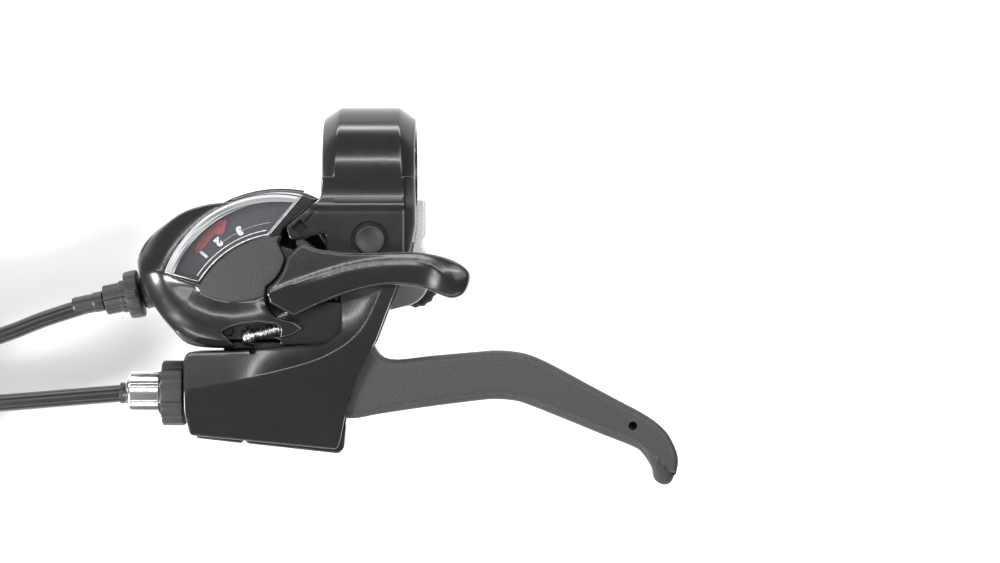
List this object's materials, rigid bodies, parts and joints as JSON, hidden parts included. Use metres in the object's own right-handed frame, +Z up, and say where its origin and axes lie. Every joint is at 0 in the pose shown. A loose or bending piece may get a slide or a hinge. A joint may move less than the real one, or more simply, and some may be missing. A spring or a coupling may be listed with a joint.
{
  "type": "bicycle shift and brake lever unit",
  "caption": "Left-hand bicycle shift and brake lever unit with bar clamp, indicator window, thumb and release levers, brake lever, barrel adjusters and two cable housings.",
  "frame": {"origin": "centre of the handlebar bore, midway along the band clamp", "axes": "+X along the handlebar towards the grip, +Y towards the rider, +Z up, as the unit sits on the bar"},
  "size_m": [0.2624, 0.1089, 0.075],
  "materials": {
    "bracket": "glossy black, die-cast and painted",
    "case_cover": "glossy black moulding",
    "case_matte": "matte black moulding",
    "lens": "clear polished acrylic",
    "needle": "red",
    "lever_paint": "satin black paint on forged aluminium",
    "release": "glossy black moulding over steel",
    "steel": "zinc plated",
    "dark_steel": "blackened",
    "alloy": "bright nickel plate",
    "brass": "plain",
    "acetal": "natural acetal",
    "housing": "black PVC sheath over steel strand",
    "thumb_pad": "matte dark grey moulding"
  },
  "bodies": {
    "unit": {"bracket_body": "bracket", "clamp_bolt": "steel", "brake_pivot_pin": "lever_paint", "case_tub": "case_matte", "case_deck": "case_matte", "case_cover": "case_cover", "indicator_lens": "lens", "case_screw_1": "steel", "case_screw_2": "steel", "unit_screw": "steel", "chassis_plate": "steel", "main_axle": "steel", "axle_nut": "steel", "release_axle": "steel", "holding_pawl_pin": "steel", "pawl_spring": "steel", "drum_spring": "steel", "thumb_spring": "steel", "shift_inner_wire": "steel", "shift_ferrule": "case_matte", "shift_housing": "housing", "shift_coil": "housing", "shift_coil_tie": "case_matte", "shift_far_ferrule": "case_matte", "brake_inner_wire": "steel", "brake_ferrule": "case_matte", "brake_housing": "housing", "brake_coil": "housing", "brake_coil_tie": "case_matte", "brake_far_ferrule": "case_matte"},
    "brake_lever": {"brake_lever": "lever_paint", "lever_bush": "brass", "brake_cable_nipple": "steel"},
    "release_lever": {"release_lever": "release", "release_pin": "steel"},
    "holding_pawl": {"holding_pawl": "steel"},
    "cable_drum": {"cable_drum": "acetal", "indicator_needle": "needle", "shift_cable_head": "steel"},
    "thumb_lever": {"thumb_lever_arm": "steel", "thumb_lever_pad": "thumb_pad", "drive_plate": "steel", "drive_pawl_pin": "steel"},
    "drive_pawl": {"drive_pawl": "steel"},
    "shift_adjuster": {"shift_adjuster": "case_matte"},
    "brake_adjuster": {"brake_adjuster": "alloy"},
    "brake_lock_ring": {"brake_lock_ring": "case_matte"},
    "reach_screw": {"reach_screw": "dark_steel"}
  },
  "joints": [
    {"name": "brake_lever_hinge", "type": "hinge", "parent": "unit", "child": "brake_lever", "pos_m": [0.0006, -0.0211, 0.003], "axis": [0, 0, 1], "range_deg": [0, 24], "stiffness_Nm_per_rad": 0.35, "springref_deg": -11.46},
    {"name": "release_lever_hinge", "type": "hinge", "parent": "unit", "child": "release_lever", "pos_m": [-0.0342, -0.0248, 0.0098], "axis": [0, 0, 1], "range_deg": [0, 12], "stiffness_Nm_per_rad": 0.12, "springref_deg": -8.59},
    {"name": "holding_pawl_hinge", "type": "hinge", "parent": "unit", "child": "holding_pawl", "pos_m": [-0.0132, -0.0282, -0.0048], "axis": [0, 0, 1], "range_deg": [-14.4, 0]},
    {"name": "drum_hinge", "type": "hinge", "parent": "unit", "child": "cable_drum", "pos_m": [-0.0245, -0.0444, 0], "axis": [0, 0, 1], "range_deg": [-12, 12]},
    {"name": "thumb_lever_hinge", "type": "hinge", "parent": "unit", "child": "thumb_lever", "pos_m": [-0.0245, -0.0444, -0.015], "axis": [0, 0, 1], "range_deg": [-40, 0], "stiffness_Nm_per_rad": 0.08, "springref_deg": 11.46},
    {"name": "drive_pawl_hinge", "type": "hinge", "parent": "thumb_lever", "child": "drive_pawl", "pos_m": [-0.04124, -0.04735, -0.0048], "axis": [0, 0, 1], "range_deg": [0, 10], "stiffness_Nm_per_rad": 0.001, "springref_deg": -5.73},
    {"name": "shift_adjuster_turn", "type": "hinge", "parent": "unit", "child": "shift_adjuster", "pos_m": [-0.063, -0.0355, -0.0012], "axis": [-0.9788, -0.2049, 0], "continuous": true},
    {"name": "brake_adjuster_turn", "type": "hinge", "parent": "unit", "child": "brake_adjuster", "pos_m": [-0.06, -0.065, 0.003], "axis": [-1, 0, 0], "continuous": true},
    {"name": "brake_lock_ring_turn", "type": "hinge", "parent": "unit", "child": "brake_lock_ring", "pos_m": [-0.056, -0.065, 0.003], "axis": [-1, 0, 0], "continuous": true},
    {"name": "reach_screw_turn", "type": "hinge", "parent": "unit", "child": "reach_screw", "pos_m": [-0.0345, -0.0488, 0.0055], "axis": [-0.9677, -0.2519, 0], "continuous": true}
  ],
  "couplings": [
    {"joint": "holding_pawl_hinge", "follows": "release_lever_hinge", "ratio": -1.2}
  ]
}
